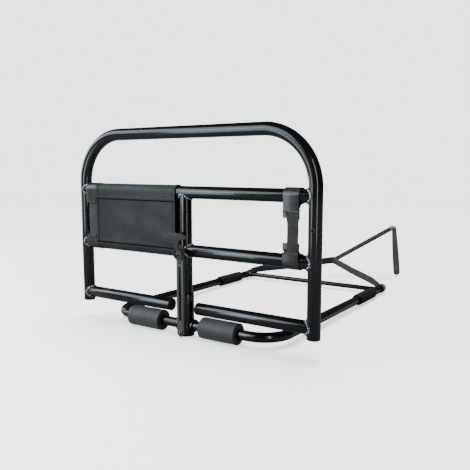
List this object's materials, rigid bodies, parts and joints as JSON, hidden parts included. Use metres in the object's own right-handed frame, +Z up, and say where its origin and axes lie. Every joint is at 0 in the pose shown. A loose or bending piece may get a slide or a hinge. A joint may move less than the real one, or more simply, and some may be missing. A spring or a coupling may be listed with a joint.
{
  "type": "bed assist rail",
  "caption": "Upright hoop of black steel tube with a cloth cover on its bars, on a U-shaped base that slides under a mattress, with a release handle and a long webbing strap.",
  "frame": {"origin": "centre of the post foot's flat underside, on the surface that the base stands on", "axes": "+X along the rail to the right, seen from beside the bed; +Y under the mattress; +Z up"},
  "size_m": [0.7498, 1.1447, 0.5359],
  "materials": {
    "black_steel": "gloss black powder coat",
    "bright_steel": "zinc plated",
    "dark_plastic": "moulded, fine texture",
    "pale_nylon": "natural nylon",
    "foam": "closed-cell foam",
    "grip_rubber": "matte ribbed rubber",
    "cover_cloth": "coated woven nylon",
    "grey_web": "satin coated webbing",
    "black_web": "woven webbing"
  },
  "bodies": {
    "base": {"base_frame": "black_steel", "foam_pad_left": "foam", "foam_pad_right": "foam", "rear_crossbar": "black_steel", "rear_grip_left": "grip_rubber", "rear_grip_right": "grip_rubber", "rear_plug_left": "dark_plastic", "rear_plug_right": "dark_plastic", "retaining_collar_left": "bright_steel", "retaining_collar_right": "bright_steel", "strap_anchor_left": "black_web", "strap_anchor_right": "black_web", "strap_branch_left": "black_web", "strap_branch_right": "black_web", "strap_drop": "black_web", "strap_junction": "black_web", "strap_tail": "black_web"},
    "rail": {"bottom_stub_left": "black_steel", "bottom_stub_right": "black_steel", "centre_post": "black_steel", "channel_bolt": "bright_steel", "channel_spacer": "dark_plastic", "fabric_cover": "cover_cloth", "front_channel": "black_steel", "leg_plug_left": "dark_plastic", "leg_plug_right": "dark_plastic", "lower_crossbar_left": "black_steel", "lower_crossbar_right": "black_steel", "pin_guide": "pale_nylon", "pivot_bush": "pale_nylon", "pivot_sleeve": "black_steel", "post_foot": "dark_plastic", "rail_loop": "black_steel", "spring_stop": "dark_plastic", "strap_band_left": "cover_cloth", "strap_band_right": "cover_cloth", "strap_loop_high_left": "grey_web", "strap_loop_high_right": "grey_web", "strap_loop_low_left": "grey_web", "strap_loop_low_right": "grey_web", "stub_cap_left": "dark_plastic", "stub_cap_right": "dark_plastic", "upper_crossbar": "black_steel"},
    "release": {"release_handle": "dark_plastic", "pull_rod": "bright_steel", "handle_bolt": "bright_steel", "cross_pin": "bright_steel", "lock_pin": "bright_steel", "lock_spring": "bright_steel"}
  },
  "joints": [
    {"name": "rail_fold", "type": "hinge", "parent": "base", "child": "rail", "pos_m": [0, 0, 0.0275], "axis": [1, 0, 0], "range_deg": [0, 84]},
    {"name": "handle_release", "type": "slide", "parent": "rail", "child": "release", "axis": [0, 0, 1], "range_m": [0, 0.012], "stiffness_N_per_m": 450, "springref_m": -0.012, "deforming": ["lock_spring"]}
  ]
}
